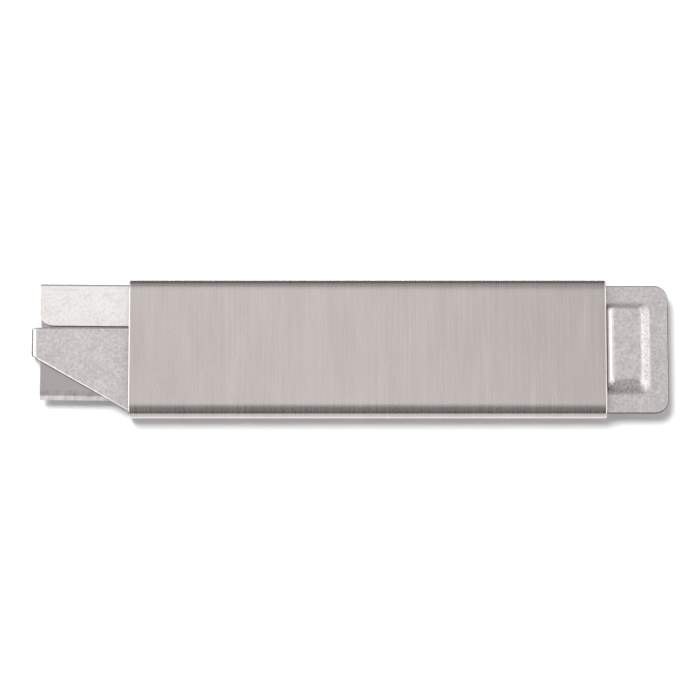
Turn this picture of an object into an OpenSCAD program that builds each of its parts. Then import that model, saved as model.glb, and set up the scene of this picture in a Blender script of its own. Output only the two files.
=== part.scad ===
// Tap-action box cutter. A flat steel sleeve holds a sliding blade carrier, and the carrier holds a
// single-edge razor blade. A tap on the tail brings the blade out, and a tap on the nose takes it in.
// Lengths are in millimetres. +X points to the tail, +Y to the blade's spine and +Z out of the front.
// The origin is the centre of the sleeve's back face. The blade is drawn out, with the slide at its stop.

/* [Sleeve] */
// Length of the sleeve
sleeve_l = 76.2; // [70:0.1:90]
// Width of the sleeve, across the blade
sleeve_w = 22.2; // [22:0.1:24]
// Thickness of the sleeve, from back face to front face
sleeve_t = 4.6; // [4.5:0.1:5]
// Sheet thickness of the sleeve
sleeve_wall = 0.45; // [0.4:0.05:0.5]
// Outside radius of the sleeve's long edges
sleeve_r = 2; // [1.2:0.1:2.1]
// Width of the butt seam along the middle of the back
seam_gap = 0.12; // [0.05:0.01:0.3]

/* [Slide] */
// Sheet thickness of the slide
slide_t = 0.8; // [0.7:0.05:0.9]
// Gap between the sleeve's back wall and the slide
slide_lift = 1.8; // [1.6:0.05:1.9]
// Play between each edge of the slide and the sleeve
side_play = 0.3; // [0.15:0.05:0.35]
// Shift of the slide within that play, towards the cutting edge's side
slide_shift = 0.15; // [0:0.05:0.15]
// Length of the nose in front of the sleeve, which is also the travel
nose_out = 15.6; // [12:0.1:18]
// Length of the tail behind the sleeve
tail_out = 9.9; // [9.5:0.1:14]
// Corner radius of the tail
tail_r = 2.2; // [1:0.1:4]
// Angle between the guard's sloping edge and the long axis
guard_angle = 29.8; // [27:0.1:35]
// Height of the sloping edge at the nose, from the centre line
guard_low = -1.07; // [-2:0.01:0]
// Inside radius of the lip that is bent back round the blade's front end
lip_bend = 0.3; // [0.2:0.05:0.4]

/* [Blade] */
// Length of the razor blade
blade_l = 38.1; // [38:0.1:38.4]
// Height of the razor blade, from spine to cutting edge
blade_w = 18.8; // [18.6:0.05:19.1]
// Thickness of the blade strip, 0.009 inch
blade_t = 0.23; // [0.2:0.01:0.3]
// Height of the ground bevel above the cutting edge
bevel_w = 1.55; // [1:0.05:2]
// Height of the folded spine
spine_w = 6.85; // [6.4:0.05:6.9]
// Length by which the spine stands out in front of the strip
spine_over = 0.25; // [0:0.05:0.3]
// Sheet thickness of the spine
spine_sheet = 0.33; // [0.25:0.01:0.35]
// Radius of the spine's lower corners
spine_r = 2.2; // [1:0.1:2.6]
// Play of the spine below the sleeve's upper wall
spine_play = 0.4; // [0.39:0.01:0.5]
// Angle at which the blade lies in its play, front end up
blade_tilt = 0.5; // [0:0.05:0.5]

/* [Press pad] */
// Height of the pressed pad above the tail
pad_rise = 1.75; // [1.6:0.05:1.8]
// Length of the pad along the slide, at its foot
pad_l = 7.9; // [7.8:0.1:9]
// Width of the pad across the slide, at its foot
pad_w = 14.4; // [12:0.1:16]
// Length of the pad's front slope, which a finger pushes against
pad_slope = 2; // [1.7:0.1:2.2]
// Length of the pad's rear slope
pad_rear = 1.3; // [1.2:0.1:2.2]
// Length of the pad's slope on the cutting edge's side
pad_low = 1.7; // [1.2:0.1:2.2]
// Length of the pad's steeper slope, on the spine's side
pad_steep = 0.9; // [0.9:0.1:2]

/* [Spring] */
// Thickness of the leaf spring
spring_t = 0.3; // [0.2:0.05:0.35]
// Width of the leaf spring
spring_w = 6.4; // [5:0.1:6.6]
// Radius of the rivets' shanks
rivet_r = 1; // [0.8:0.1:1.2]

/* [Hidden] */
$fn = 72;
cut = 1;          // how far a cutting shape runs past what it cuts
rub = 0.03;       // running clearance of faces that slide on each other

steel_satin = [0.76, 0.73, 0.72];
steel_zinc = [0.78, 0.76, 0.75];
steel_razor = [0.60, 0.58, 0.58];
aluminium = [0.90, 0.89, 0.88];
steel_spring = [0.35, 0.36, 0.40];

// Sleeve
sleeve_end = sleeve_l / 2;
inner_half = sleeve_w / 2 - sleeve_wall;
front_inside = sleeve_t - sleeve_wall;

// Slide
slide_back = sleeve_wall + slide_lift;
slide_front = slide_back + slide_t;
slide_half = inner_half - side_play;
nose_x = -sleeve_end - nose_out;
tail_x = sleeve_end + tail_out;
guard_top = inner_half - spine_w - spine_play;
lip_outer_r = lip_bend + slide_t;
lip_end = sleeve_wall + 0.25;

// Blade, in its own place: the spine's lower rear corner rests on the guard
lip_play = 0.7;
blade_rear = nose_x + slide_t + lip_play + blade_l;
step_x = blade_rear + 0.15;
spine_l = blade_l + spine_over;
spine_t = blade_t + 2 * spine_sheet;
spine_back = slide_back - blade_t - spine_sheet;
body_top = spine_w - spine_t / 2;
edge_low = spine_w - blade_w;
hone_w = bevel_w * 0.47;
hone_t = blade_t * 0.5;
edge_t = 0.02;
notch_h = 3.4;
notch_d = 0.12;

// Press pad: at rest its front slope stands just clear of the sleeve's front wall
pad_gap = 0.2;
pad_x = sleeve_end - pad_slope * (front_inside - slide_front) / pad_rise + pad_gap;

// Stop tab of the sleeve, and the recess of the slide that it runs in
tab_x = 4.8;
tab_l = 3.2;
tab_y = -8.8;
tab_top = slide_front + 0.2;
window_w = 2.4;
recess_y = tab_y + 1.2;
stop_play = 0.2;
change_travel = 24.7;      // forward travel that frees the blade, once the pad is pressed down
recess_front = tab_x - tab_l / 2 - nose_out - stop_play;
recess_rear = tab_x + tab_l / 2 + change_travel;

// Stiffening ribs that keep the slide off the front wall
rib_y = 5.6;
rib_foot = 2.4;
rib_crest = 1;
rib_rise = front_inside - slide_front - rub;
rib_front = -8;
rib_rear = 32;

// Leaf spring: riveted at the rear, bowed against the back wall, and its tip holds the blade up
spring_y = -0.8;
spring_rear = 33.5;
spring_root = 20;
spring_crest_x = 5;
spring_touch_x = blade_rear - 3;
spring_tip_x = blade_rear - 5;
spring_root_z = slide_back - spring_t / 2;
spring_crest_z = sleeve_wall + rub + spring_t / 2;
spring_touch_z = slide_back - blade_t - 0.02 - spring_t / 2;
spring_tip_z = spring_touch_z - 0.25;
rivet_xs = [24, 30];
rivet_head_r = 1.8 * rivet_r;
rivet_head_h = 0.6;

// A point between a and b on a smooth half wave, for t from 0 to 1
function wave(a, b, t) = a + (b - a) * (1 - cos(180 * t)) / 2;

// Height of the spring's middle line at x
function spring_z(x) =
    x >= spring_root ? spring_root_z :
    x >= spring_crest_x ? wave(spring_crest_z, spring_root_z, (x - spring_crest_x) / (spring_root - spring_crest_x)) :
    x >= spring_touch_x ? wave(spring_touch_z, spring_crest_z, (x - spring_touch_x) / (spring_crest_x - spring_touch_x)) :
    wave(spring_touch_z, spring_tip_z, (spring_touch_x - x) / (spring_touch_x - spring_tip_x));

// A bar along X with rounded long edges, standing on z, centred on y = 0
module rounded_bar(length, width, height, radius, z) {
    translate([-length / 2, 0, z]) {
        translate([0, radius - width / 2, 0]) cube([length, width - 2 * radius, height]);
        translate([0, -width / 2, radius]) cube([length, width, height - 2 * radius]);
        for (side = [-1, 1], level = [radius, height - radius])
            translate([0, side * (width / 2 - radius), level]) rotate([0, 90, 0]) cylinder(r = radius, h = length);
    }
}

module stop_tab() {
    translate([tab_x - tab_l / 2, tab_y - 0.1, 0]) cube([tab_l, sleeve_wall + 0.1, tab_top]);
}

// The sleeve is one sheet folded round to a butt seam, with a stop tab cut from its back wall and bent in
module outer_sleeve() {
    color(steel_satin) union() {
        difference() {
            rounded_bar(sleeve_l, sleeve_w, sleeve_t, sleeve_r, 0);
            rounded_bar(sleeve_l + 2 * cut, 2 * inner_half, front_inside - sleeve_wall,
                sleeve_r - sleeve_wall, sleeve_wall);
            translate([-sleeve_end - cut, -seam_gap / 2, -cut])
                cube([sleeve_l + 2 * cut, seam_gap, sleeve_wall + 2 * cut]);
            translate([tab_x - tab_l / 2, tab_y, -cut]) cube([tab_l, window_w, sleeve_wall + 2 * cut]);
        }
        stop_tab();
    }
}

// A trapezium on the X axis, with a foot that starts at 0 and slopes of run_a and run_b
module trapezium(foot, run_a, run_b, rise) {
    polygon([[0, 0], [foot, 0], [foot - run_b, rise], [run_a, rise]]);
}

// A pressed pad with four slopes, its foot from x = 0 and centred on y = 0
module pad_block() {
    intersection() {
        translate([0, pad_w / 2, 0]) rotate([90, 0, 0]) linear_extrude(pad_w)
            trapezium(pad_l, pad_slope, pad_rear, pad_rise);
        translate([0, -pad_w / 2, 0]) rotate([90, 0, 90]) linear_extrude(pad_l)
            trapezium(pad_w, pad_low, pad_steep, pad_rise);
    }
}

// A rib along X with sloping sides and square ends
module rib_block(y) {
    translate([rib_front, y, 0]) rotate([90, 0, 90]) linear_extrude(rib_rear - rib_front)
        polygon([[-rib_foot / 2, 0], [rib_foot / 2, 0], [rib_crest / 2, rib_rise], [-rib_crest / 2, rib_rise]]);
}

module slide_plate() {
    translate([nose_x + lip_outer_r, -slide_half - slide_shift, slide_back])
        cube([step_x + cut - nose_x - lip_outer_r, slide_half + slide_shift + guard_top, slide_t]);
    translate([0, -slide_shift, slide_back]) {
        translate([step_x, -slide_half, 0]) cube([tail_x - tail_r - step_x, 2 * slide_half, slide_t]);
        translate([tail_x - 2 * tail_r, tail_r - slide_half, 0])
            cube([2 * tail_r, 2 * (slide_half - tail_r), slide_t]);
        for (side = [-1, 1])
            translate([tail_x - tail_r, side * (slide_half - tail_r), 0]) cylinder(r = tail_r, h = slide_t);
    }
}

// The lip at the nose, bent back through a right angle
module nose_lip() {
    lip_low = -slide_half / 2;
    translate([nose_x + lip_outer_r, guard_top, slide_front - lip_outer_r]) rotate([90, 0, 0])
        intersection() {
            difference() {
                cylinder(r = lip_outer_r, h = guard_top - lip_low);
                translate([0, 0, -cut]) cylinder(r = lip_bend, h = guard_top - lip_low + 2 * cut);
            }
            translate([-lip_outer_r, 0, 0]) cube([lip_outer_r, lip_outer_r, guard_top - lip_low]);
        }
    translate([nose_x, lip_low, lip_end])
        cube([slide_t, guard_top - lip_low, slide_front - lip_outer_r - lip_end]);
}

// What lies below the guard's sloping edge
module below_guard() {
    run = slide_half / tan(guard_angle);
    translate([nose_x, guard_low, 0]) rotate([0, 0, -guard_angle]) translate([-5, -slide_half * 2, -cut])
        cube([2 * run + 5, slide_half * 2, sleeve_t + 2 * cut]);
}

module blade_slide() {
    color(steel_zinc) difference() {
        union() {
            difference() {
                union() {
                    slide_plate();
                    nose_lip();
                }
                below_guard();
            }
            translate([pad_x, 0, slide_front]) pad_block();
            for (side = [-1, 1]) translate([0, 0, slide_front]) rib_block(side * rib_y);
        }
        translate([pad_x, 0, slide_back]) pad_block();
        for (side = [-1, 1]) translate([0, 0, slide_back]) rib_block(side * rib_y);
        translate([recess_front, -slide_half - cut, 0])
            cube([recess_rear - recess_front, slide_half + cut + recess_y, sleeve_t]);
        for (x = rivet_xs) translate([x, spring_y, 0]) cylinder(r = rivet_r, h = sleeve_t);
    }
}

// Puts a blade drawn from the spine's lower rear corner into its place in the slide
module in_blade_seat() {
    translate([blade_rear, guard_top, spine_back]) rotate([0, 0, -blade_tilt]) children();
}

// The hard steel strip, ground to its edge in two facets
module razor_blade() {
    middle = spine_t / 2;
    color(steel_razor) in_blade_seat() difference() {
        translate([-blade_l, 0, middle]) rotate([90, 0, 90]) linear_extrude(blade_l)
            polygon([
                [edge_low, -edge_t / 2], [edge_low + hone_w, -hone_t / 2], [edge_low + bevel_w, -blade_t / 2],
                [body_top, -blade_t / 2], [body_top, blade_t / 2],
                [edge_low + bevel_w, blade_t / 2], [edge_low + hone_w, hone_t / 2], [edge_low, edge_t / 2]
            ]);
        for (x = [-blade_l - cut, -notch_d])
            translate([x, -notch_h, 0]) cube([notch_d + cut, notch_h, spine_t]);
    }
}

// The spine is a strip folded over the blade's back, with rounded lower corners
module blade_spine() {
    fold_r = spine_t / 2;
    color(aluminium) in_blade_seat() difference() {
        intersection() {
            union() {
                translate([-spine_l, spine_r, 0]) cube([spine_l, spine_w - spine_r, spine_t]);
                translate([spine_r - spine_l, 0, 0]) cube([spine_l - 2 * spine_r, spine_w, spine_t]);
                for (x = [spine_r - spine_l, -spine_r]) translate([x, spine_r, 0]) cylinder(r = spine_r, h = spine_t);
            }
            union() {
                translate([-spine_l, 0, 0]) cube([spine_l, spine_w - fold_r, spine_t]);
                translate([-spine_l, spine_w - fold_r, fold_r]) rotate([0, 90, 0]) cylinder(r = fold_r, h = spine_l);
            }
        }
        translate([-spine_l - cut, -cut, spine_sheet]) cube([spine_l + 2 * cut, body_top + cut, blade_t]);
    }
}

// A bowed strip of spring steel that rubs on the sleeve's back wall and holds the blade against the guard
module leaf_spring() {
    step = 1.5;
    xs = [for (x = spring_tip_x; x < spring_root; x = x + step) x];
    line = concat(xs, [spring_root, spring_rear]);
    over = [for (x = line) [x, spring_z(x) + spring_t / 2]];
    under = [for (i = [len(line) - 1:-1:0]) [line[i], spring_z(line[i]) - spring_t / 2]];
    color(steel_spring) difference() {
        translate([0, spring_y + spring_w / 2, 0]) rotate([90, 0, 0]) linear_extrude(spring_w)
            polygon(concat(over, under));
        for (x = rivet_xs) translate([x, spring_y, 0]) cylinder(r = rivet_r, h = sleeve_t);
    }
}

// A low domed rivet head that stands on z = 0
module rivet_head() {
    dome_r = (rivet_head_r * rivet_head_r + rivet_head_h * rivet_head_h) / (2 * rivet_head_h);
    intersection() {
        translate([0, 0, rivet_head_h - dome_r]) sphere(r = dome_r);
        cylinder(r = rivet_head_r, h = rivet_head_h);
    }
}

module spring_rivets() {
    low = slide_back - spring_t;
    color(steel_zinc) for (x = rivet_xs) translate([x, spring_y, 0]) union() {
        translate([0, 0, low]) cylinder(r = rivet_r, h = slide_front - low);
        translate([0, 0, slide_front]) rivet_head();
        translate([0, 0, low]) mirror([0, 0, 1]) rivet_head();
    }
}

outer_sleeve();
blade_slide();
razor_blade();
blade_spine();
leaf_spring();
spring_rivets();
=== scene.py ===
"""A tap-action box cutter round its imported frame: finished meshes, finishes and a plain studio."""

import math

import bmesh
import bpy
from mathutils import Euler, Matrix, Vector


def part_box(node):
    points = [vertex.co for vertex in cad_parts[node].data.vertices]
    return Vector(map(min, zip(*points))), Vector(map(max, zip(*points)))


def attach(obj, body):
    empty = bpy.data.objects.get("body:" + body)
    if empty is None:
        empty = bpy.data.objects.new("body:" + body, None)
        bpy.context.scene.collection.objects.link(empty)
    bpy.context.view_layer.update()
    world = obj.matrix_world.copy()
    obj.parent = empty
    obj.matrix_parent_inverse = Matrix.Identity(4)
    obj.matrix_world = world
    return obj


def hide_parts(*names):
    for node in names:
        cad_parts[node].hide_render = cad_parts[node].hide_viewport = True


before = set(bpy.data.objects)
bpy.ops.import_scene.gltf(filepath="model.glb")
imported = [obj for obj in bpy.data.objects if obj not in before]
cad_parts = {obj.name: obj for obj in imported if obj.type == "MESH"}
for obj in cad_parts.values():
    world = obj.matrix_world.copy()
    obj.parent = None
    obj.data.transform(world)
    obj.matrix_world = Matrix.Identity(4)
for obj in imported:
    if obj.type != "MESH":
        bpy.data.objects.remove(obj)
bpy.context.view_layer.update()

MM = 0.001

# How near two places are to count as one, when they are looked up and when points are merged
SAME_PLACE = 1e-6
WELD = 1e-7

# How much of a face's normal lies along an axis, for a face that looks that way or leans that way
FACING = 0.9
TURNED = 0.3

# Edges that turn by more than this are rounded
SHARP_TURN = math.radians(60)

# How far a cutter reaches past what it cuts
PAST = 1 * MM

# Places read from the frame
SLEEVE_LOW, SLEEVE_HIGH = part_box("outer_sleeve")
SLIDE_LOW, SLIDE_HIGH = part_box("blade_slide")
SPINE_LOW, SPINE_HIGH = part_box("blade_spine")
SPRING_LOW, SPRING_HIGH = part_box("leaf_spring")
RIVET_LOW, RIVET_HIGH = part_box("spring_rivets")

# Sleeve
SLEEVE_WALL = 0.45 * MM
SLEEVE_R = 2.0 * MM
SEAM_GAP = 0.12 * MM
TAB_X = 4.8 * MM
TAB_L = 3.2 * MM
TAB_Y = -8.8 * MM
TAB_ROOT = 0.45 * MM
TAB_BEND = 0.25 * MM
TAB_PAST_SLIDE = 0.1 * MM
WINDOW_W = 2.4 * MM
END_ROUND = 0.28 * MM
MOUTH_ROUND = 0.07 * MM
SEAM_ROUND = 0.05 * MM

# Slide
SLIDE_T = 0.8 * MM
PAD_RISE = 1.75 * MM
SLIDE_FRONT = SLIDE_HIGH.z - PAD_RISE
SLIDE_BACK = SLIDE_FRONT - SLIDE_T
TAIL_R = 2.2 * MM
GUARD_TOP = 3.4 * MM
GUARD_LOW = -1.07 * MM
GUARD_ANGLE = math.radians(29.8)
SLOPE_START = Vector((SLIDE_LOW.x, GUARD_LOW, 0))
SLOPE_WAY = Vector((-math.sin(GUARD_ANGLE), -math.cos(GUARD_ANGLE), 0))
LIP_R = 1.1 * MM
LIP_CORNER = 0.4 * MM
PAD_X = 37.04 * MM
PAD_L = 7.9 * MM
PAD_W = 14.4 * MM
PAD_SLOPE = 2.0 * MM
PAD_REAR = 1.3 * MM
PAD_LOW = 1.7 * MM
PAD_STEEP = 0.9 * MM
PAD_CORNER = 1.3 * MM
PAD_BLEND = 0.42 * MM
RECESS_X = (-12.6 * MM, 31.1 * MM)
RECESS_Y = -7.6 * MM
RIB_X = (-8.0 * MM, 32.0 * MM)
RIB_Y = 5.6 * MM
RIB_FOOT = 2.4 * MM
RIB_CREST = 1.0 * MM
RIB_RISE = 1.06 * MM
RIB_SLOPE = (RIB_FOOT - RIB_CREST) / 2
RIB_END_SLOPE = 1.6 * RIB_SLOPE
RIB_CORNER = 1.0 * MM
RIB_BLEND = 0.2 * MM
FLANGE = 0.55 * MM
HOLE_GAP = 0.1 * MM
EDGE_ROUND = 0.26 * MM
SLOPE_CHAMFER = 0.11 * MM
PAD_SPANS = ((PAD_X, PAD_X + PAD_L), (-PAD_W / 2, PAD_W / 2))
RIB_SPANS = [(RIB_X, (side * RIB_Y - RIB_FOOT / 2, side * RIB_Y + RIB_FOOT / 2)) for side in (-1, 1)]
RISEN = [PAD_SPANS, *RIB_SPANS]

# Blade, drawn from the spine's lower rear corner
BLADE_TILT = math.radians(0.5)
BLADE_L = 38.1 * MM
BLADE_W = 18.8 * MM
BLADE_T = 0.23 * MM
BEVEL_W = 1.55 * MM
HONE_W = 0.73 * MM
HONE_SHARE = 0.5
EDGE_SHARE = 0.06
NOTCH_H = 3.4 * MM
NOTCH_D = 0.12 * MM
BLADE_ROUND = 0.03 * MM
SPINE_W = 6.85 * MM
SPINE_L = 38.35 * MM
SPINE_SHEET = 0.33 * MM
SPINE_T = SPINE_HIGH.z - SPINE_LOW.z
SPINE_R = 2.2 * MM
SPINE_ROUND = 0.12 * MM
PRESSED_LINE_Y = SPINE_W - 0.95 * MM
PRESSED_LINE_HALF = 0.14 * MM
PRESSED_LINE_SINK = 0.02 * MM
BLADE_REAR = SPINE_HIGH.x - SPINE_W * math.sin(BLADE_TILT)
BLADE_SEAT = Vector((BLADE_REAR, GUARD_TOP, SPINE_LOW.z))
STEP_GAP = 0.15 * MM
STEP_X = BLADE_REAR + STEP_GAP

# Spring and rivets
SPRING_T = 0.3 * MM
SPRING_CORNER = 1.4 * MM
SPRING_ROUND = 0.05 * MM
SPRING_CUTS = 56
SPRING_ROOT_X = 20 * MM
SPRING_CREST_X = 5 * MM
SPRING_TOUCH_X = BLADE_REAR - 3 * MM
SPRING_GAP = 0.02 * MM
SPRING_TIP_L = 2 * MM
SPRING_TIP_DROP = 0.25 * MM
RIVET_X = (24 * MM, 30 * MM)
RIVET_Y = (RIVET_LOW.y + RIVET_HIGH.y) / 2
RIVET_SHANK_R = 1.0 * MM
RIVET_HEAD_R = 1.8 * MM
RIVET_HEAD_H = 0.6 * MM
RIVET_STEPS = 5
RIVET_CROWN_SHARE = 0.04


# ---------------------------------------------------------------- modelling helpers

KINDS = {"VERT": "verts", "EDGE": "edges", "FACE": "faces"}


def choose(piece):
    """Makes piece the only selected object, and the active one."""
    bpy.ops.object.select_all(action="DESELECT")
    piece.select_set(True)
    bpy.context.view_layer.objects.active = piece


def edit(piece):
    choose(piece)
    bpy.ops.object.mode_set(mode="EDIT")


def leave():
    bpy.ops.object.mode_set(mode="OBJECT")


def middle(part):
    """The middle of a vertex, an edge or a face."""
    if isinstance(part, bmesh.types.BMVert):
        return part.co
    if isinstance(part, bmesh.types.BMEdge):
        return (part.verts[0].co + part.verts[1].co) / 2
    return part.calc_center_median()


def pick(kind, test):
    """Selects the vertices, edges or faces that pass the test, and nothing else."""
    bpy.ops.mesh.select_mode(type=kind)
    bpy.ops.mesh.select_all(action="DESELECT")
    mesh = bmesh.from_edit_mesh(bpy.context.edit_object.data)
    found = [part for part in getattr(mesh, KINDS[kind]) if test(part)]
    for part in found:
        part.select_set(True)
    mesh.select_flush_mode()
    bmesh.update_edit_mesh(bpy.context.edit_object.data)


def near(a, b, slack=SAME_PLACE):
    return abs(a - b) < slack


def along(edge, axis):
    """Whether an edge runs along an axis, given as 0, 1 or 2."""
    step = edge.verts[1].co - edge.verts[0].co
    return all(near(step[i], 0) for i in range(3) if i != axis)


def block(name, low, high):
    """A box between two corners, with its place in its mesh."""
    low, high = Vector(low), Vector(high)
    bpy.ops.object.select_all(action="DESELECT")
    bpy.ops.mesh.primitive_cube_add(size=1, location=(low + high) / 2, scale=high - low)
    piece = bpy.context.object
    piece.name = piece.data.name = name
    bpy.ops.object.transform_apply(location=True, rotation=True, scale=True)
    return piece


def flat_sheet(name, low, high, z):
    """A flat rectangle that faces up at height z, from the corner low to the corner high."""
    size = (high[0] - low[0], high[1] - low[1], 1)
    place = ((low[0] + high[0]) / 2, (low[1] + high[1]) / 2, z)
    bpy.ops.object.select_all(action="DESELECT")
    bpy.ops.mesh.primitive_plane_add(size=1, location=place)
    piece = bpy.context.object
    piece.name = piece.data.name = name
    piece.scale = size
    bpy.ops.object.transform_apply(location=True, rotation=True, scale=True)
    return piece


def cut_line(test, point, normal):
    """Cuts the faces that pass the test along a plane."""
    pick("FACE", test)
    bpy.ops.mesh.bisect(plane_co=point, plane_no=normal)


def drop_faces(test):
    pick("FACE", test)
    bpy.ops.mesh.delete(type="FACE")


def apply_modifier(piece, kind, **settings):
    """Adds a modifier with these settings and applies it."""
    choose(piece)
    made = piece.modifiers.new(kind.lower(), kind)
    for key, value in settings.items():
        setattr(made, key, value)
    bpy.ops.object.modifier_apply(modifier=made.name)


def carve(piece, cutter, operation="DIFFERENCE"):
    """Cuts cutter out of piece, or adds it, and removes the cutter."""
    apply_modifier(piece, "BOOLEAN", operation=operation, object=cutter, solver="EXACT")
    bpy.data.objects.remove(cutter)


def thicken(piece, thickness):
    """Gives an open sheet its thickness, on the side that its faces turn their backs to."""
    apply_modifier(piece, "SOLIDIFY", thickness=thickness, offset=-1, use_even_offset=True)


def soften(piece, width, segments=2):
    """Rounds every sharp edge, and closes the slivers that this can leave where edges meet."""
    apply_modifier(
        piece, "BEVEL", width=width, segments=segments, limit_method="ANGLE",
        angle_limit=SHARP_TURN, miter_outer="MITER_ARC", use_clamp_overlap=True,
    )
    edit(piece)
    bpy.ops.mesh.select_all(action="SELECT")
    bpy.ops.mesh.remove_doubles(threshold=SAME_PLACE)
    bpy.ops.mesh.fill_holes(sides=4)
    leave()


def smooth(piece, angle=35):
    """Smooth shading, with flat faces kept flat up to their rounded edges."""
    choose(piece)
    bpy.ops.object.shade_smooth_by_angle(angle=math.radians(angle))
    apply_modifier(piece, "WEIGHTED_NORMAL", mode="FACE_AREA", weight=50, keep_sharp=True)


def join(pieces):
    choose(pieces[0])
    for other in pieces[1:]:
        other.select_set(True)
    bpy.ops.object.join()
    return pieces[0]


def face_up():
    """Turns all faces the same way, with the largest one facing +Z."""
    bpy.ops.mesh.select_all(action="SELECT")
    bpy.ops.mesh.normals_make_consistent(inside=False)
    mesh = bmesh.from_edit_mesh(bpy.context.edit_object.data)
    if max(mesh.faces, key=lambda f: f.calc_area()).normal.z < 0:
        bpy.ops.mesh.flip_normals()


# A face with less of itself across the knife than this looks along the knife
LEAST_ACROSS = 0.2


def lay_length_uv(piece):
    """A UV map whose U runs along the knife on every face, so that the brush marks lie across it."""
    mesh = bmesh.new()
    mesh.from_mesh(piece.data)
    layer = mesh.loops.layers.uv.new("length")
    for face in mesh.faces:
        across = face.normal.cross(Vector((1, 0, 0)))
        across = across.normalized() if across.length > LEAST_ACROSS else Vector((0, 1, 0))
        start = across.cross(face.normal)
        for corner in face.loops:
            corner[layer].uv = (corner.vert.co.dot(start) / MM, corner.vert.co.dot(across) / MM)
    mesh.to_mesh(piece.data)
    mesh.free()


# ---------------------------------------------------------------- sleeve

def stop_tab():
    """The tab that is cut from the back wall on three sides and bent in, to stop the slide."""
    low, high = (TAB_X - TAB_L / 2, TAB_Y - TAB_ROOT), (TAB_X + TAB_L / 2, TAB_Y)
    bent_z = SLEEVE_WALL + TAB_BEND
    tab = flat_sheet("stop_tab", low, high, SLEEVE_WALL)
    edit(tab)
    pick("EDGE", lambda e: near(middle(e).y, TAB_Y))
    bpy.ops.mesh.spin(steps=5, angle=math.radians(90), center=(TAB_X, TAB_Y, bent_z), axis=(-1, 0, 0))
    pick("EDGE", lambda e: near(middle(e).z, bent_z) and along(e, 0))
    rise = SLIDE_FRONT + TAB_PAST_SLIDE - bent_z
    bpy.ops.mesh.extrude_edges_move(TRANSFORM_OT_translate={"value": (0, 0, rise)})
    face_up()
    leave()
    thicken(tab, SLEEVE_WALL)
    return tab


def sleeve_shell():
    """One sheet folded round to a flat tube, with a butt seam along the middle of its back."""
    shell = block("sleeve_shell", SLEEVE_LOW, SLEEVE_HIGH)
    edit(shell)
    pick("EDGE", lambda e: along(e, 0))
    bpy.ops.mesh.bevel(offset=SLEEVE_R, segments=12, affect="EDGES")
    pick("FACE", lambda f: abs(f.normal.x) > FACING)
    bpy.ops.mesh.inset(thickness=SLEEVE_WALL, use_even_offset=True)
    bpy.ops.mesh.bridge_edge_loops()

    def on_end(edge, inner):
        """Whether an edge runs round one of the ends, inside or outside."""
        spot = middle(edge)
        if not all(near(abs(v.co.x), SLEEVE_HIGH.x) for v in edge.verts):
            return False
        rims = [f for f in edge.link_faces if abs(f.normal.x) > FACING]
        walls = [f for f in edge.link_faces if abs(f.normal.x) < 1 - FACING]
        if len(rims) != 1 or len(walls) != 1:
            return False
        centre = Vector((spot.x, 0, (SLEEVE_LOW.z + SLEEVE_HIGH.z) / 2))
        return (walls[0].normal.dot(spot - centre) < 0) == inner

    pick("EDGE", lambda e: on_end(e, inner=False))
    bpy.ops.mesh.bevel(offset=END_ROUND, segments=4, affect="EDGES")
    pick("EDGE", lambda e: on_end(e, inner=True))
    bpy.ops.mesh.bevel(offset=MOUTH_ROUND, segments=2, affect="EDGES")
    leave()
    cuts = (
        ("seam_cut", (SLEEVE_LOW.x - PAST, SLEEVE_HIGH.x + PAST), (-SEAM_GAP / 2, SEAM_GAP / 2)),
        ("window_cut", (TAB_X - TAB_L / 2, TAB_X + TAB_L / 2), (TAB_Y, TAB_Y + WINDOW_W)),
    )
    for name, x, y in cuts:
        carve(shell, block(name, (x[0], y[0], -PAST), (x[1], y[1], SLEEVE_WALL + PAST)))
    carve(shell, stop_tab(), operation="UNION")
    soften(shell, SEAM_ROUND)
    smooth(shell)
    lay_length_uv(shell)
    return shell


# ---------------------------------------------------------------- slide

def pressed_rise(name, x_span, y_span, low_runs, high_runs, rise, corner, blend):
    """An open sheet that is pressed up over a rectangle, with a flat flange round it.
    The runs are the lengths of its slopes, at the low and at the high ends of X and Y."""
    low = (x_span[0] - FLANGE, y_span[0] - FLANGE)
    high = (x_span[1] + FLANGE, y_span[1] + FLANGE)
    piece = flat_sheet(name, low, high, SLIDE_FRONT)
    edit(piece)
    pick("VERT", lambda v: True)
    bpy.ops.mesh.bevel(offset=corner + FLANGE, segments=8, affect="VERTICES")
    pick("FACE", lambda f: True)
    bpy.ops.mesh.inset(thickness=FLANGE, use_even_offset=True)
    foot = [x_span[1] - x_span[0], y_span[1] - y_span[0]]
    crest = [foot[i] - low_runs[i] - high_runs[i] for i in (0, 1)]
    shift = [(low_runs[i] - high_runs[i]) / 2 for i in (0, 1)]
    mid_x, mid_y = (x_span[0] + x_span[1]) / 2, (y_span[0] + y_span[1]) / 2
    centre = (mid_x + shift[0], mid_y + shift[1], SLIDE_FRONT + rise)
    bpy.ops.mesh.extrude_region_move(TRANSFORM_OT_translate={"value": (shift[0], shift[1], rise)})
    bpy.ops.transform.resize(value=(crest[0] / foot[0], crest[1] / foot[1], 1), center_override=centre)
    for level in (0, rise):
        pick("EDGE", lambda e: is_fold(e, SLIDE_FRONT + level))
        bpy.ops.mesh.bevel(offset=blend, segments=5, affect="EDGES")
    leave()
    return piece


# How much of a flat face's normal lies along Z, at the least
LEVEL = 0.99


def is_fold(edge, z):
    """Whether an edge at height z has a slope on one side and a flat face on the other."""
    if not all(near(v.co.z, z) for v in edge.verts) or len(edge.link_faces) != 2:
        return False
    steep = [f for f in edge.link_faces if abs(f.normal.z) < LEVEL]
    return len(steep) == 1


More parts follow.
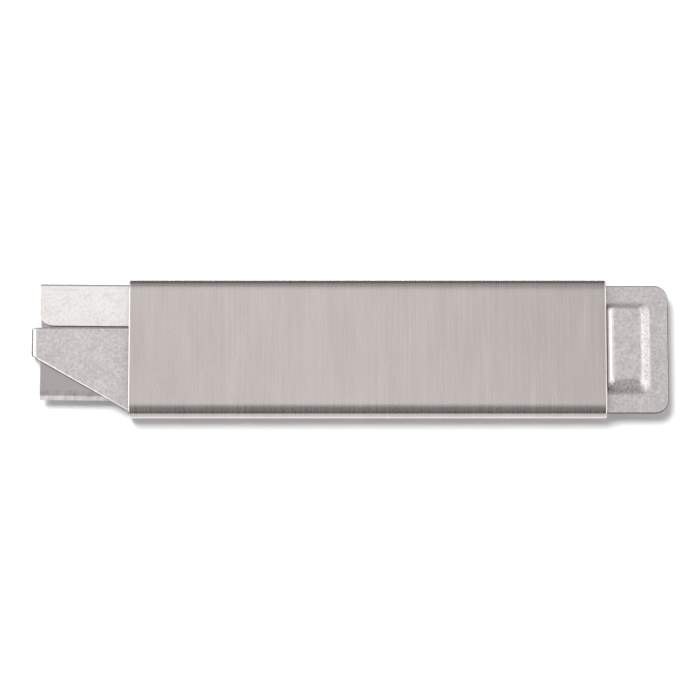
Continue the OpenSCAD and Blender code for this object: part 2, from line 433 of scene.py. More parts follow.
def slide_outline():
    """The flat sheet with its guard, its blade step, its recess for the stop tab and its rounded tail."""
    sheet = flat_sheet(
        "slide_sheet", (SLIDE_LOW.x + LIP_R, SLIDE_LOW.y), (SLIDE_HIGH.x, SLIDE_HIGH.y), SLIDE_FRONT
    )
    edit(sheet)
    cut_line(lambda f: True, (STEP_X, 0, 0), (1, 0, 0))
    cut_line(lambda f: middle(f).x < STEP_X, (0, GUARD_TOP, 0), (0, 1, 0))
    drop_faces(lambda f: middle(f).x < STEP_X and middle(f).y > GUARD_TOP)
    cut_below_guard()
    for x in RECESS_X:
        cut_line(lambda f: middle(f).x > STEP_X, (x, 0, 0), (1, 0, 0))
    cut_line(lambda f: RECESS_X[0] < middle(f).x < RECESS_X[1], (0, RECESS_Y, 0), (0, 1, 0))
    drop_faces(lambda f: RECESS_X[0] < middle(f).x < RECESS_X[1] and middle(f).y < RECESS_Y)
    pick("VERT", lambda v: near(v.co.x, SLIDE_HIGH.x))
    bpy.ops.mesh.bevel(offset=TAIL_R, segments=14, affect="VERTICES")
    leave()
    return sheet


def cut_below_guard():
    """Drops what lies below the guard's sloping edge."""
    cut_line(lambda f: middle(f).x < STEP_X, SLOPE_START, SLOPE_WAY)
    drop_faces(lambda f: middle(f).x < STEP_X and (middle(f) - SLOPE_START).dot(SLOPE_WAY) > 0)


def on_slope(edge):
    """Whether an edge is the front one of the guard's sloping rim."""
    slack = 0.01 * MM
    return all(
        near(v.co.z, SLIDE_FRONT) and near((v.co - SLOPE_START).dot(SLOPE_WAY), 0, slack)
        for v in edge.verts
    )


def open_for(sheet, x_span, y_span):
    """Opens a rectangular hole in the sheet for a pressed rise and its flange."""
    gap = HOLE_GAP + FLANGE
    x_low, x_high = x_span[0] - gap, x_span[1] + gap
    y_low, y_high = y_span[0] - gap, y_span[1] + gap

    def inside(spot):
        return x_low < spot.x < x_high and y_low < spot.y < y_high

    edit(sheet)
    for x in (x_low, x_high):
        cut_line(lambda f: True, (x, 0, 0), (1, 0, 0))
    for y in (y_low, y_high):
        cut_line(lambda f: x_low < middle(f).x < x_high, (0, y, 0), (0, 1, 0))
    drop_faces(lambda f: inside(middle(f)))
    leave()
    return x_low, x_high, y_low, y_high


def fill_round(x_low, x_high, y_low, y_high):
    """Fills the ring between a hole's edge and the flange that stands in it."""
    slack = 0.01 * MM

    def in_ring(edge):
        spot = middle(edge)
        return (
            edge.is_boundary
            and x_low - slack < spot.x < x_high + slack
            and y_low - slack < spot.y < y_high + slack
        )

    pick("EDGE", in_ring)
    bpy.ops.mesh.fill(use_beauty=True)


def bend_lip():
    """Bends the nose back round the blade's front end."""
    nose_edge = SLIDE_LOW.x + LIP_R
    axis_z = SLIDE_FRONT - LIP_R
    pick("EDGE", lambda e: along(e, 1) and near(middle(e).x, nose_edge) and e.is_boundary)
    bpy.ops.mesh.spin(steps=10, angle=math.radians(90), center=(nose_edge, 0, axis_z), axis=(0, 1, 0))
    pick("EDGE", lambda e: along(e, 1) and near(middle(e).z, axis_z) and e.is_boundary)
    bpy.ops.mesh.extrude_edges_move(TRANSFORM_OT_translate={"value": (0, 0, SLIDE_LOW.z - axis_z)})
    cut_below_guard()
    pick("VERT", lambda v: near(v.co.z, SLIDE_LOW.z))
    bpy.ops.mesh.bevel(offset=LIP_CORNER, segments=5, affect="VERTICES")


def slide_carrier():
    """The slide is one sheet: guard, lip, blade step, ribs, tail and pressed pad."""
    pad_runs = (PAD_SLOPE, PAD_LOW), (PAD_REAR, PAD_STEEP)
    rises = [pressed_rise("pad", *PAD_SPANS, *pad_runs, PAD_RISE, PAD_CORNER, PAD_BLEND)]
    rib_run = (RIB_END_SLOPE, RIB_SLOPE)
    for number, spans in enumerate(RIB_SPANS, 1):
        name = f"rib_{number}"
        rises.append(pressed_rise(name, *spans, rib_run, rib_run, RIB_RISE, RIB_CORNER, RIB_BLEND))
    sheet = slide_outline()
    holes = [open_for(sheet, *span) for span in RISEN]
    sheet = join([sheet, *rises])
    sheet.name = sheet.data.name = "slide_carrier"
    edit(sheet)
    for hole in holes:
        fill_round(*hole)
    bend_lip()
    bpy.ops.mesh.select_all(action="SELECT")
    bpy.ops.mesh.remove_doubles(threshold=WELD)
    face_up()
    leave()
    thicken(sheet, SLIDE_T)
    edit(sheet)
    pick("EDGE", on_slope)
    bpy.ops.mesh.bevel(offset=SLOPE_CHAMFER, segments=1, affect="EDGES")
    pick("EDGE", lambda e: e.calc_face_angle(0) > SHARP_TURN and not on_rise(middle(e)))
    bpy.ops.mesh.bevel(offset=EDGE_ROUND, segments=3, affect="EDGES")
    leave()
    smooth(sheet, angle=30)
    return sheet


def on_rise(spot):
    """Whether a spot lies on the pad or on a rib, or on the flange round it."""
    return any(
        x[0] - FLANGE < spot.x < x[1] + FLANGE and y[0] - FLANGE < spot.y < y[1] + FLANGE
        for x, y in RISEN
    )


# ---------------------------------------------------------------- blade

def seat_blade(piece):
    """Turns a blade piece, drawn at the origin, to its lie and puts it in its seat."""
    piece.rotation_euler = Euler((0, 0, -BLADE_TILT))
    piece.location = BLADE_SEAT
    choose(piece)
    bpy.ops.object.transform_apply(location=True, rotation=True, scale=True)


def blade_strip():
    """The hard strip, ground to its edge in two facets on each side."""
    top, edge_y = SPINE_W - SPINE_T / 2, SPINE_W - BLADE_W
    mid_z = SPINE_T / 2
    strip = block("blade_strip", (-BLADE_L, edge_y, mid_z - BLADE_T / 2), (0, top, mid_z + BLADE_T / 2))
    edit(strip)
    for height in (BEVEL_W, HONE_W):
        cut_line(lambda f: True, (0, edge_y + height, 0), (0, 1, 0))
    for height, share in ((HONE_W, HONE_SHARE), (0, EDGE_SHARE)):
        pick("VERT", lambda v: near(v.co.y, edge_y + height))
        bpy.ops.transform.resize(value=(1, 1, share), center_override=(0, edge_y + height, mid_z))
    leave()
    for x_low, x_high in ((-BLADE_L - PAST, -BLADE_L + NOTCH_D), (-NOTCH_D, PAST)):
        carve(strip, block("notch_cut", (x_low, -NOTCH_H, -PAST), (x_high, 0, SPINE_T + PAST)))
    soften(strip, BLADE_ROUND)
    smooth(strip, angle=2)
    seat_blade(strip)
    return strip


def spine_fold():
    """A strip folded over the blade's back, with rounded corners and a pressed line below the fold."""
    fold_r = SPINE_T / 2
    fold_y = SPINE_W - fold_r
    spine = flat_sheet("spine_fold", (-SPINE_L, 0), (0, fold_y), SPINE_T)
    edit(spine)
    pick("VERT", lambda v: near(v.co.y, 0))
    bpy.ops.mesh.bevel(offset=SPINE_R, segments=12, affect="VERTICES")
    pick("EDGE", lambda e: near(middle(e).y, fold_y))
    bpy.ops.mesh.spin(steps=16, angle=math.radians(180), center=(0, fold_y, fold_r), axis=(1, 0, 0))
    pick("EDGE", lambda e: near(middle(e).z, 0) and along(e, 0))
    bpy.ops.mesh.extrude_edges_move(TRANSFORM_OT_translate={"value": (0, -fold_y, 0)})
    pick("VERT", lambda v: near(v.co.z, 0) and near(v.co.y, 0))
    bpy.ops.mesh.bevel(offset=SPINE_R, segments=12, affect="VERTICES")
    bpy.ops.mesh.select_all(action="SELECT")
    bpy.ops.mesh.remove_doubles(threshold=WELD)
    for offset, sink in ((PRESSED_LINE_HALF, 0), (0, PRESSED_LINE_SINK), (-PRESSED_LINE_HALF, 0)):
        line_y = PRESSED_LINE_Y + offset
        cut_line(lambda f: True, (0, line_y, 0), (0, 1, 0))
        pick("VERT", lambda v: near(v.co.y, line_y) and v.co.z > fold_r)
        bpy.ops.transform.translate(value=(0, 0, -sink))
        pick("VERT", lambda v: near(v.co.y, line_y) and v.co.z < fold_r)
        bpy.ops.transform.translate(value=(0, 0, sink))
    face_up()
    leave()
    thicken(spine, SPINE_SHEET)
    soften(spine, SPINE_ROUND, segments=3)
    smooth(spine, angle=40)
    seat_blade(spine)
    return spine


# ---------------------------------------------------------------- spring and rivets

def spring_height(x):
    """Height of the leaf spring's upper face.
    It is flat at its root, bowed down to the sleeve's wall, and comes up again to the blade."""
    touch_z = SLIDE_BACK - BLADE_T - SPRING_GAP
    marks = [
        (SPRING_TOUCH_X - SPRING_TIP_L, touch_z - SPRING_TIP_DROP),
        (SPRING_TOUCH_X, touch_z),
        (SPRING_CREST_X, SPRING_LOW.z + SPRING_T),
        (SPRING_ROOT_X, SLIDE_BACK),
    ]
    for (x_a, z_a), (x_b, z_b) in zip(marks, marks[1:]):
        if x <= x_b:
            share = (1 - math.cos(math.pi * (x - x_a) / (x_b - x_a))) / 2
            return z_a + (z_b - z_a) * share
    return SLIDE_BACK


def bowed_spring():
    """A leaf of spring steel with rounded ends."""
    low, high = SPRING_LOW, SPRING_HIGH
    spring = flat_sheet("bowed_spring", (low.x, low.y), (high.x, high.y), high.z)
    edit(spring)
    pick("VERT", lambda v: True)
    bpy.ops.mesh.bevel(offset=SPRING_CORNER, segments=6, affect="VERTICES")
    for i in range(1, SPRING_CUTS):
        cut_line(lambda f: True, (low.x + (high.x - low.x) * i / SPRING_CUTS, 0, 0), (1, 0, 0))
    mesh = bmesh.from_edit_mesh(spring.data)
    for vert in mesh.verts:
        vert.co.z = spring_height(vert.co.x)
    bmesh.update_edit_mesh(spring.data)
    leave()
    thicken(spring, SPRING_T)
    soften(spring, SPRING_ROUND)
    smooth(spring)
    return spring


def rivet(x, number):
    """A rivet with a low domed head on each side of the slide."""
    low, high = RIVET_LOW.z + RIVET_HEAD_H, RIVET_HIGH.z - RIVET_HEAD_H
    bpy.ops.object.select_all(action="DESELECT")
    bpy.ops.mesh.primitive_cylinder_add(
        vertices=48, radius=RIVET_SHANK_R, depth=high - low, location=(x, RIVET_Y, (low + high) / 2)
    )
    piece = bpy.context.object
    piece.name = piece.data.name = f"rivet_{number}"
    bpy.ops.object.transform_apply(location=True, rotation=True, scale=True)
    edit(piece)
    for level, way in ((low, -1), (high, 1)):
        pick("FACE", lambda f: near(f.normal.z, way, 0.01) and near(middle(f).z, level))
        grow = RIVET_HEAD_R / RIVET_SHANK_R
        bpy.ops.mesh.extrude_region_move(TRANSFORM_OT_translate={"value": (0, 0, 0)})
        bpy.ops.transform.resize(value=(grow, grow, 1), center_override=(x, RIVET_Y, level))
        for i in range(1, RIVET_STEPS + 1):
            before = math.radians(90) * (i - 1) / RIVET_STEPS
            turn = math.radians(90) * i / RIVET_STEPS
            rise = RIVET_HEAD_H * (math.sin(turn) - math.sin(before))
            shrink = max(math.cos(turn), RIVET_CROWN_SHARE) / math.cos(before)
            bpy.ops.mesh.extrude_region_move(TRANSFORM_OT_translate={"value": (0, 0, way * rise)})
            bpy.ops.transform.resize(value=(shrink, shrink, 1), center_override=(x, RIVET_Y, level))
    bpy.ops.mesh.select_all(action="SELECT")
    bpy.ops.mesh.remove_doubles(threshold=WELD)
    bpy.ops.mesh.normals_make_consistent(inside=False)
    leave()
    smooth(piece, angle=50)
    return piece


# ---------------------------------------------------------------- shader groups

def new_group(name, inputs, outputs):
    """A shader node group with float inputs {name: default} and outputs {name: kind}."""
    group = bpy.data.node_groups.new(name, "ShaderNodeTree")
    for label, value in inputs.items():
        socket = group.interface.new_socket(label, in_out="INPUT", socket_type="NodeSocketFloat")
        socket.default_value = value
    for label, kind in outputs.items():
        group.interface.new_socket(label, in_out="OUTPUT", socket_type=kind)
    return group, group.nodes.new("NodeGroupInput"), group.nodes.new("NodeGroupOutput")


def feed(tree, socket, value):
    """Links an output to an input socket, or sets the input to a plain value."""
    if isinstance(value, bpy.types.NodeSocket):
        tree.links.new(value, socket)
    else:
        socket.default_value = value


def add(tree, kind, settings=None, **values):
    """Adds a node, sets its properties, and feeds its input sockets by name, with _ for a space."""
    node = tree.nodes.new(kind)
    for key, value in (settings or {}).items():
        setattr(node, key, value)
    for key, value in values.items():
        feed(tree, node.inputs[key.replace("_", " ")], value)
    return node


def combine(tree, operation, a, b):
    """A Math node's result, from sockets or numbers."""
    node = tree.nodes.new("ShaderNodeMath")
    node.operation = operation
    for socket, value in zip(node.inputs, (a, b)):
        feed(tree, socket, value)
    return node.outputs[0]


def brush_group():
    """Fine brush marks across the knife: thin lines, broader bands, and a tone that mixes both."""
    group, given, out = new_group(
        "brush_marks",
        {"Lines per mm": 9.0, "Length mm": 9.0, "Band per mm": 0.35},
        {"Lines": "NodeSocketFloat", "Bands": "NodeSocketFloat", "Tone": "NodeSocketFloat"},
    )
    place = add(group, "ShaderNodeTexCoord").outputs["Object"]
    split = add(group, "ShaderNodeSeparateXYZ", Vector=place)
    girth = combine(group, "ADD", split.outputs["Y"], split.outputs["Z"])

    def marks(per_mm, seed, detail):
        scale = combine(group, "MULTIPLY", per_mm, 1 / MM)
        across = combine(group, "MULTIPLY", split.outputs["X"], scale)
        length = combine(group, "MULTIPLY", given.outputs["Length mm"], MM)
        down = combine(group, "DIVIDE", girth, length)
        spot = add(group, "ShaderNodeCombineXYZ", X=across, Y=down, Z=seed).outputs["Vector"]
        noise = add(group, "ShaderNodeTexNoise", Vector=spot, Scale=1.0, Detail=detail, Roughness=0.6)
        return noise.outputs["Fac"]

    lines = marks(given.outputs["Lines per mm"], seed=3.7, detail=2.0)
    bands = marks(given.outputs["Band per mm"], seed=8.1, detail=3.0)
    tone = combine(group, "MULTIPLY", combine(group, "ADD", lines, bands), 0.5)
    for label, value in (("Lines", lines), ("Bands", bands), ("Tone", tone)):
        group.links.new(value, out.inputs[label])
    return group


def speckle_group():
    """The speckle of a zinc coat or of pressed strip: fine grains over slow clouds."""
    group, given, out = new_group(
        "speckle",
        {"Grains per mm": 3.0, "Clouds per mm": 0.4, "Stretch": 1.0},
        {"Grain": "NodeSocketFloat", "Cloud": "NodeSocketFloat"},
    )
    place = add(group, "ShaderNodeTexCoord").outputs["Object"]
    split = add(group, "ShaderNodeSeparateXYZ", Vector=place)
    tall = combine(group, "DIVIDE", split.outputs["Y"], given.outputs["Stretch"])
    joined = add(group, "ShaderNodeCombineXYZ", X=split.outputs["X"], Y=tall, Z=split.outputs["Z"])
    spot = joined.outputs["Vector"]

    def noise(label, per_mm, detail, rough):
        scale = combine(group, "MULTIPLY", given.outputs[per_mm], 1 / MM)
        node = add(group, "ShaderNodeTexNoise", Vector=spot, Scale=scale, Detail=detail, Roughness=rough)
        group.links.new(node.outputs["Fac"], out.inputs[label])

    noise("Grain", "Grains per mm", detail=4.0, rough=0.7)
    noise("Cloud", "Clouds per mm", detail=3.0, rough=0.5)
    return group


# Sockets of a Mix node that mixes colours; they share their names with its other kinds
MIX_SHARE, MIX_A, MIX_B, MIX_RESULT = 0, 6, 7, 2


def vary_group():
    """Lightens and darkens a colour by a pattern, and gives a roughness that follows it."""
    group, given, out = new_group(
        "vary_tone",
        {"Pattern": 0.5, "Amount": 0.1, "Middle": 0.5, "Rough": 0.4, "Rough amount": 0.1},
        {"Colour": "NodeSocketColor", "Rough": "NodeSocketFloat"},
    )
    group.interface.new_socket("Colour", in_out="INPUT", socket_type="NodeSocketColor")
    swing = combine(group, "SUBTRACT", given.outputs["Pattern"], given.outputs["Middle"])
    gain = combine(group, "ADD", combine(group, "MULTIPLY", swing, given.outputs["Amount"]), 1.0)
    spread = add(group, "ShaderNodeCombineXYZ", X=gain, Y=gain, Z=gain).outputs["Vector"]
    settings = {"data_type": "RGBA", "blend_type": "MULTIPLY", "clamp_result": True}
    mixed = add(group, "ShaderNodeMix", settings)
    feed(group, mixed.inputs[MIX_SHARE], 1.0)
    feed(group, mixed.inputs[MIX_A], given.outputs["Colour"])
    feed(group, mixed.inputs[MIX_B], spread)
    group.links.new(mixed.outputs[MIX_RESULT], out.inputs["Colour"])
    rough_swing = combine(group, "MULTIPLY", swing, given.outputs["Rough amount"])
    rough = combine(group, "ADD", rough_swing, given.outputs["Rough"])
    group.links.new(rough, out.inputs["Rough"])
    return group


GROUPS = {"brush": brush_group(), "speckle": speckle_group(), "vary": vary_group()}


# ---------------------------------------------------------------- finishes

class Finish:
    """A metal finish under construction: its node tree, its Principled BSDF and its groups."""

    def __init__(self, name, colour, rough, anisotropic=0.0):
        self.material = bpy.data.materials.new(name)
        self.material.use_nodes = True
        self.material.diffuse_color = (*colour, 1)
        self.tree = self.material.node_tree
        self.shader = self.tree.nodes["Principled BSDF"]
        self.shader.inputs["Metallic"].default_value = 1.0
        self.shader.inputs["Roughness"].default_value = rough
        self.shader.inputs["Anisotropic"].default_value = anisotropic
        self.colour = colour
        self.rough = rough

    def group(self, which, **values):
        return add(self.tree, "ShaderNodeGroup", {"node_tree": GROUPS[which]}, **values)

    def vary(self, pattern, amount, rough_amount, colour=None):
        """Puts a pattern's light and dark on the colour, and its swing on the roughness."""
        return self.group(
            "vary", Pattern=pattern, Amount=amount, Rough=self.rough, Rough_amount=rough_amount,
            Colour=(*self.colour, 1) if colour is None else colour,
        )

    def wear(self, node):
        """Links a vary group's results to the shader."""
        self.tree.links.new(node.outputs["Colour"], self.shader.inputs["Base Color"])
        self.tree.links.new(node.outputs["Rough"], self.shader.inputs["Roughness"])

    def bump(self, height, depth):
        node = add(self.tree, "ShaderNodeBump", Height=height, Distance=depth, Strength=1.0)
        self.tree.links.new(node.outputs["Normal"], self.shader.inputs["Normal"])


def brushed_stainless():
    finish = Finish("brushed_stainless", (0.560, 0.512, 0.496), 0.27, anisotropic=0.93)
    tangent = add(finish.tree, "ShaderNodeTangent", {"direction_type": "UV_MAP", "uv_map": "length"})
    finish.tree.links.new(tangent.outputs["Tangent"], finish.shader.inputs["Tangent"])
    marks = finish.group("brush", Lines_per_mm=7.0, Length_mm=14.0, Band_per_mm=0.3)
    bands = finish.vary(marks.outputs["Bands"], 0.22, 0.06)
    lines = finish.vary(marks.outputs["Lines"], 0.30, 0.08, colour=bands.outputs["Colour"])
    finish.wear(lines)
    finish.bump(marks.outputs["Lines"], 0.0006 * MM)
    return finish.material


def ground_steel(name, colour, rough):
    """A ground facet, with its fine grinding marks across the edge."""
    finish = Finish(name, colour, rough)
    marks = finish.group("brush", Lines_per_mm=2.2, Length_mm=1.5, Band_per_mm=0.5)
    tone = finish.vary(marks.outputs["Tone"], 1.5, 0.3)
    finish.wear(tone)
    finish.bump(marks.outputs["Lines"], 0.002 * MM)
    return finish.material


def speckled(name, colour, rough, grains, clouds, depth, grain_swing=None, cloud_swing=None, stretch=1.0):
    """A metal with fine grains and slow clouds, given as their number per mm.
    A swing is how far the pattern moves the tone and the roughness, and depth is the grains' height."""
    finish = Finish(name, colour, rough)
    specks = finish.group("speckle", Grains_per_mm=grains, Clouds_per_mm=clouds, Stretch=stretch)
    tone, mixed = None, None
    for pattern, swing in (("Cloud", cloud_swing), ("Grain", grain_swing)):
        if swing:
            tone = finish.vary(specks.outputs[pattern], *swing, colour=mixed)
            mixed = tone.outputs["Colour"]
    finish.wear(tone)
    finish.bump(specks.outputs["Grain"], depth)
    return finish.material


def galvanised():
    return speckled(
        "galvanised_zinc", (0.742, 0.702, 0.696), 0.50, grains=2.2, clouds=0.4, depth=0.045 * MM,
        grain_swing=(1.05, 0.25), cloud_swing=(0.22, 0.10),
    )


def stretched_zinc():
    """The coat where the pad's slopes drew it thin: paler, and crazed into coarser grains."""
    return speckled(
        "stretched_zinc", (0.82, 0.783, 0.757), 0.50, grains=3.2, clouds=0.6, depth=0.05 * MM,
        grain_swing=(2.2, 0.3),
    )


def painted_shade_rim(name):
    """A dark finish for rounded rims: painted shade, which draws a dark outline round the plates."""
    return speckled(
        name, (0.13, 0.123, 0.12), 0.42, grains=3.0, clouds=0.8, depth=0.006 * MM, grain_swing=(0.5, 0.2)
    )


def fine_speckle_metal(name, colour, rough):
    """A metal with a fine speckle in a given colour: the bare cut steel and the fold rubbed smooth, and the
    painted highlights on the sleeve's ends, the nose, the guard's sloping edge and the pad's slope that
    faces -X.
    """
    return speckled(name, colour, rough, grains=2.0, clouds=0.5, depth=0.004 * MM, grain_swing=(0.3, 0.1))


def razor_steel():
    return speckled(
        "razor_steel", (0.462, 0.418, 0.422), 0.30, grains=2.0, clouds=0.25, depth=0.001 * MM,
        grain_swing=(0.10, 0.08), stretch=3.0,
    )


def pale_strip():
    return speckled(
        "pale_spine_strip", (0.975, 0.934, 0.908), 0.42, grains=2.4, clouds=0.6, depth=0.018 * MM,
        grain_swing=(0.72, 0.15), cloud_swing=(0.26, 0.05), stretch=1.2,
    )


# The pressed line's own finish, also used for a painted highlight on the spine's front rim.
def pressed_line_and_painted_highlight():
    return speckled(
        "pressed_line_and_painted_highlight", (0.985, 0.945, 0.918), 0.38, grains=2.0, clouds=0.5, depth=0.01 * MM,
        cloud_swing=(0.8, 0.1),
    )


def tempered_spring():
    return speckled(
        "tempered_spring", (0.25, 0.26, 0.30), 0.34, grains=2.0, clouds=0.2, depth=0.002 * MM,
        cloud_swing=(0.5, 0.1),
    )


def plain_rivet():
    return speckled(
        "plain_rivet", (0.58, 0.56, 0.54), 0.32, grains=4.0, clouds=0.8, depth=0.004 * MM,
        grain_swing=(0.3, 0.15),
    )


def dress(piece, *materials):
    """Gives a piece its materials. All its faces wear the first one, until they are given another."""
    piece.data.materials.clear()
    for material in materials:
        piece.data.materials.append(material)


# A face's tilt from lying flat, from which it counts as a pressed slope, a rounded rim or a sheared wall
SLOPE_TILT = math.radians(30)
RIM_TILT = math.radians(40)
WALL_TILT = math.radians(85)

# How much of a normal lies along X on the sleeve's rounded end, and on the spine's front rim, which both
# carry a painted highlight
END_TURNED = 0.15
RIM_TURNED = 0.2

# How nearly a rim looks the guard's sloping way, and how far past the bend of the nose its finish goes;
# both places carry a painted highlight
SAME_WAY = 0.99
PAST_BEND = 0.05 * MM


def dress_sleeve(shell):
    """The brushed finish, with a painted highlight on the rounded ends."""
    painted_highlight_end = 1
    dress(shell, brushed_stainless(), fine_speckle_metal("painted_highlight_steel", (0.80, 0.745, 0.725), 0.26))
    for face in shell.data.polygons:
        # The rounded end faces wear a paler finish: a painted highlight.
        if abs(face.center.x) > SLEEVE_HIGH.x - END_ROUND and abs(face.normal.x) > END_TURNED:
            face.material_index = painted_highlight_end


def dress_carrier(carrier):
    """The zinc coat on the faces, drawn thin on the pad's slopes, bare cut steel on the upright walls,
    and painted shade, a dark outline, on the rounded rims. Painted highlights lie on the bend of the nose,
    on the guard's sloping edge and on the pad's slope that faces -X."""
    coat, painted_dark_rim, drawn, painted_glint, painted_highlight_slope, cut = range(6)
    dress(
        carrier, galvanised(), painted_shade_rim("painted_shade_slide_rim"), stretched_zinc(),
        # A paler, smoother zinc: a painted highlight on the nose's bend and on the guard's sloping edge.
        fine_speckle_metal("painted_highlight_zinc", (0.80, 0.765, 0.755), 0.30),
        # A much paler zinc: a painted highlight on the pad's slope that faces -X.
        fine_speckle_metal("painted_highlight_slope_zinc", (0.95, 0.92, 0.90), 0.50),
        fine_speckle_metal("cut_steel", (0.34, 0.325, 0.315), 0.45),
    )
    bend_end = SLIDE_LOW.x + LIP_R + PAST_BEND
    for face in carrier.data.polygons:
        normal, spot = face.normal, face.center
        tilt = math.acos(min(abs(normal.z), 1))
        flat_way = Vector((normal.x, normal.y, 0)).normalized()
        slope = coat
        if normal.z > 0 and tilt > SLOPE_TILT:
            if normal.y < -TURNED or normal.x > TURNED:
                slope = drawn
            elif normal.x < -TURNED:
                # The slope that faces -X gets a painted highlight.
                slope = painted_highlight_slope
        if tilt > WALL_TILT and spot.x > bend_end and not on_rise(spot):
            face.material_index = cut
        elif spot.x < bend_end:
            # On the nose, the side rims get painted shade as a dark outline, and the bend gets a painted
            # highlight.
            face.material_index = painted_dark_rim if abs(normal.y) > math.sin(RIM_TILT) else painted_glint
        elif on_rise(spot):
            face.material_index = slope
        # Rounded rims: painted shade as a dark outline, but a painted highlight on the guard's sloping
        # edge.
        elif tilt > RIM_TILT:
            face.material_index = painted_glint if flat_way.dot(SLOPE_WAY) > SAME_WAY else painted_dark_rim


def unseated(piece):
    """Yields each face of a blade piece with its place and its normal, as they were drawn."""
    turn = Euler((0, 0, BLADE_TILT)).to_matrix()
    for face in piece.data.polygons:
        yield face, turn @ (face.center - BLADE_SEAT), turn @ face.normal


def dress_spine(spine):
    """The pale strip, with its pressed line and its fold rubbed bright, painted shade as a dark outline on
    its rims, and a painted highlight on its front rim, which wears the pressed line's finish.
    """
    painted_dark_rim, line_and_painted_glint, fold = 1, 2, 3
    dress(
        spine, pale_strip(), painted_shade_rim("painted_shade_spine_rim"), pressed_line_and_painted_highlight(),
        fine_speckle_metal("burnished_fold", (0.80, 0.77, 0.75), 0.20),
    )
    for face, spot, normal in unseated(spine):
        if abs(spot.y - PRESSED_LINE_Y) < PRESSED_LINE_HALF and abs(normal.z) > FACING:
            face.material_index = line_and_painted_glint
        elif spot.y > SPINE_W - SPINE_T / 2:
            face.material_index = fold
        elif abs(normal.z) < math.cos(RIM_TILT):
            # Rims: a painted highlight on the front rim, and painted shade as a dark outline on the rest.
            face.material_index = line_and_painted_glint if normal.x < -RIM_TURNED else painted_dark_rim


def dress_blade(strip):
    """The body's finish, with a finish of its own on each ground facet."""
    body, ground, honed = range(3)
    dress(
        strip, razor_steel(), ground_steel("ground_facet", (0.460, 0.425, 0.412), 0.30),
        ground_steel("honed_facet", (0.84, 0.78, 0.785), 0.40),
    )
    for face, spot, _ in unseated(strip):
        height = spot.y - (SPINE_W - BLADE_W)
        face.material_index = honed if height < HONE_W else ground if height < BEVEL_W else body


# ---------------------------------------------------------------- studio

AIM = Vector((-2.8, -0.14, 2.4)) * MM
CAMERA_LEAN = (0, -10)
CAMERA_DISTANCE = 600 * MM
CAMERA_VIEW_W = 111.85 * MM
SENSOR_W = 36
CLIP_START = 0.01
FLOOR_SIZE = 6
FLOOR_DROP = 0.02 * MM
FLOOR_TONE = 0.92
TABLE_FILL = 0.50
KEY_POWER = 2.9
KEY_SIZE = 28
KEY_LEAN = (-19, 21)

# Brightness of the surroundings, by the lean in degrees from straight up towards +Y.
# Beyond 90 degrees on either side it is what lies below the table's height.
SURROUNDINGS = (
    (-180, 1.20), (-137, 1.15), (-115, 1.05), (-100, 0.90), (-94, 0.80), (-90, 0.03), (-70, 0.05),
    (-45, 0.13), (-30, 0.22), (-20, 0.40), (-10, 0.60), (0, 0.60), (35, 0.43), (50, 0.48), (73, 0.50),
    (87, 0.40), (93, 0.28), (104, 0.20), (130, 0.16), (165, 0.90), (180, 1.20),
)

# The pale walls towards -X and +X: their brightness, and where they start and end.
# Starts and feet are parts of a direction along X, Y or Z, from -1 to 1.
LEFT_WALL, RIGHT_WALL = 2.5, 1.5
LEFT_FOOT, RIGHT_FOOT = -0.2, -0.6
WALL_START = 0.34
WALL_BLEND = 0.30
WALL_FOOT = 0.22
WALL_TOP = 1.05
WALL_TOP_START = 0.30


def direction(lean_x, lean_y):
    """A direction from the object, given as its lean from straight up towards +X and +Y in degrees."""
    lean = math.radians(math.hypot(lean_x, lean_y))
    turn = math.atan2(lean_y, lean_x)
    return Vector((math.sin(lean) * math.cos(turn), math.sin(lean) * math.sin(turn), math.cos(lean)))


def softbox(name, lean_x, lean_y, distance, width, height, glow, spread):
    """A rectangular lamp that faces the object, and lights gloss but no matt surface.
    Glow is the brightness of its face."""
    lamp = bpy.data.lights.new(name, "AREA")
    lamp.shape = "RECTANGLE"
    lamp.size, lamp.size_y = width, height
    lamp.energy = glow * math.pi * width * height
    lamp.spread = math.radians(spread)
    lamp_object = bpy.data.objects.new(name, lamp)
    way = direction(lean_x, lean_y)
    lamp_object.location = AIM + way * distance
    lamp_object.rotation_euler = way.to_track_quat("Z", "Y").to_euler()
    lamp_object.visible_diffuse = False
    bpy.context.scene.collection.objects.link(lamp_object)


def table_key():
    """A soft key from the upper left, for the table's light and the shadow on it. Gloss does not see it."""
    lamp = bpy.data.lights.new("table_key", "SUN")
    lamp.energy = KEY_POWER
    lamp.angle = math.radians(KEY_SIZE)
    key = bpy.data.objects.new("table_key", lamp)
    key.rotation_euler = direction(*KEY_LEAN).to_track_quat("Z", "Y").to_euler()
    key.visible_glossy = False
    bpy.context.scene.collection.objects.link(key)


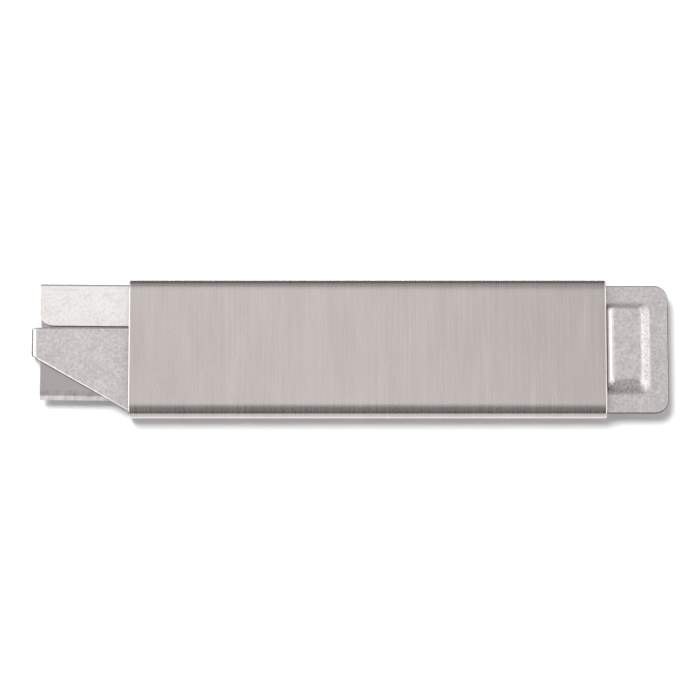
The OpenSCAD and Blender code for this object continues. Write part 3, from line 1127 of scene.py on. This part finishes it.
def studio_world():
    """The studio round the table, with a pale wall at each end of the knife.
    The table takes a plain fill of its own, and the camera sees white."""
    world = bpy.data.worlds.new("studio")
    world.use_nodes = True
    bpy.context.scene.world = world
    tree = world.node_tree
    tree.nodes.clear()
    way = add(tree, "ShaderNodeTexCoord").outputs["Generated"]
    split = add(tree, "ShaderNodeSeparateXYZ", Vector=way)

    def step(value, low):
        """Rises softly from 0 to 1, from a value of low on."""
        settings = {"interpolation_type": "SMOOTHSTEP"}
        node = add(
            tree, "ShaderNodeMapRange", settings, Value=value, From_Min=low, From_Max=low + WALL_BLEND
        )
        return node.outputs["Result"]

    def blend(tone, other, share):
        kept = combine(tree, "MULTIPLY", tone, combine(tree, "SUBTRACT", 1.0, share))
        return combine(tree, "ADD", kept, combine(tree, "MULTIPLY", other, share))

    lean = combine(tree, "ARCTAN2", split.outputs["Y"], split.outputs["Z"])
    turn = combine(tree, "ADD", combine(tree, "DIVIDE", lean, 2 * math.pi), 0.5)
    ramp = tree.nodes.new("ShaderNodeValToRGB")
    stops = ramp.color_ramp.elements
    peak = max(tone for _, tone in SURROUNDINGS)
    while len(stops) < len(SURROUNDINGS):
        stops.new(0.5)
    for stop, (angle, tone) in zip(stops, SURROUNDINGS):
        stop.position = angle / 360 + 0.5
        stop.color = (tone / peak, tone / peak, tone / peak, 1)
    tree.links.new(turn, ramp.inputs["Fac"])
    tone = combine(tree, "MULTIPLY", ramp.outputs["Color"], peak)
    for way_out, wall, foot in ((-1, LEFT_WALL, LEFT_FOOT), (1, RIGHT_WALL, RIGHT_FOOT)):
        side = combine(tree, "MULTIPLY", split.outputs["X"], way_out)
        wall_tone = blend(WALL_FOOT, wall, step(split.outputs["Z"], foot))
        for axis in ("Z", "Y"):
            wall_tone = blend(wall_tone, WALL_TOP, step(split.outputs[axis], WALL_TOP_START))
        tone = blend(tone, wall_tone, step(side, WALL_START))
    path = add(tree, "ShaderNodeLightPath")
    strength = blend(tone, TABLE_FILL, path.outputs["Is Diffuse Ray"])
    strength = blend(strength, 1.0, path.outputs["Is Camera Ray"])
    back = add(tree, "ShaderNodeBackground", Color=(1, 1, 1, 1), Strength=strength)
    out = add(tree, "ShaderNodeOutputWorld")
    tree.links.new(back.outputs["Background"], out.inputs["Surface"])


def white_floor():
    """A large pale table, a hair below the back face."""
    bpy.ops.object.select_all(action="DESELECT")
    bpy.ops.mesh.primitive_plane_add(size=FLOOR_SIZE, location=(0, 0, -FLOOR_DROP))
    floor = bpy.context.object
    floor.name = "floor"
    bpy.ops.object.transform_apply(location=True, rotation=True, scale=True)
    material = bpy.data.materials.new("white_table")
    material.use_nodes = True
    shader = material.node_tree.nodes["Principled BSDF"]
    shader.inputs["Base Color"].default_value = (FLOOR_TONE, FLOOR_TONE, FLOOR_TONE, 1)
    shader.inputs["Roughness"].default_value = 1.0
    shader.inputs["Specular IOR Level"].default_value = 0.0
    dress(floor, material)
    floor.visible_glossy = False


def camera():
    """The camera looks down at the front face, ten degrees towards the cutting edge's side."""
    lens = bpy.data.cameras.new("camera")
    lens.sensor_width = SENSOR_W
    lens.lens = SENSOR_W * CAMERA_DISTANCE / CAMERA_VIEW_W
    lens.clip_start = CLIP_START
    eye = bpy.data.objects.new("camera", lens)
    way = direction(*CAMERA_LEAN)
    eye.location = AIM + way * CAMERA_DISTANCE
    eye.rotation_euler = way.to_track_quat("Z", "Y").to_euler()
    bpy.context.scene.collection.objects.link(eye)
    bpy.context.scene.camera = eye


# ---------------------------------------------------------------- assembly

camera()

shell = sleeve_shell()
dress_sleeve(shell)
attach(shell, "sleeve")
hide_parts("outer_sleeve")

carrier = slide_carrier()
dress_carrier(carrier)
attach(carrier, "slide")
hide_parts("blade_slide")

strip = blade_strip()
dress_blade(strip)
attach(strip, "slide")
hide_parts("razor_blade")

spine = spine_fold()
dress_spine(spine)
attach(spine, "slide")
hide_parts("blade_spine")

spring = bowed_spring()
dress(spring, tempered_spring())
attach(spring, "slide")
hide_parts("leaf_spring")

rivet_finish = plain_rivet()
for number, x in enumerate(RIVET_X, 1):
    head = rivet(x, number)
    dress(head, rivet_finish)
    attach(head, "slide")
    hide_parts("spring_rivets")

white_floor()
studio_world()
softbox("overhead", lean_x=-9, lean_y=24, distance=0.24, width=0.12, height=0.25, glow=0.60, spread=180)
table_key()

bpy.context.scene.view_settings.view_transform = "Standard"
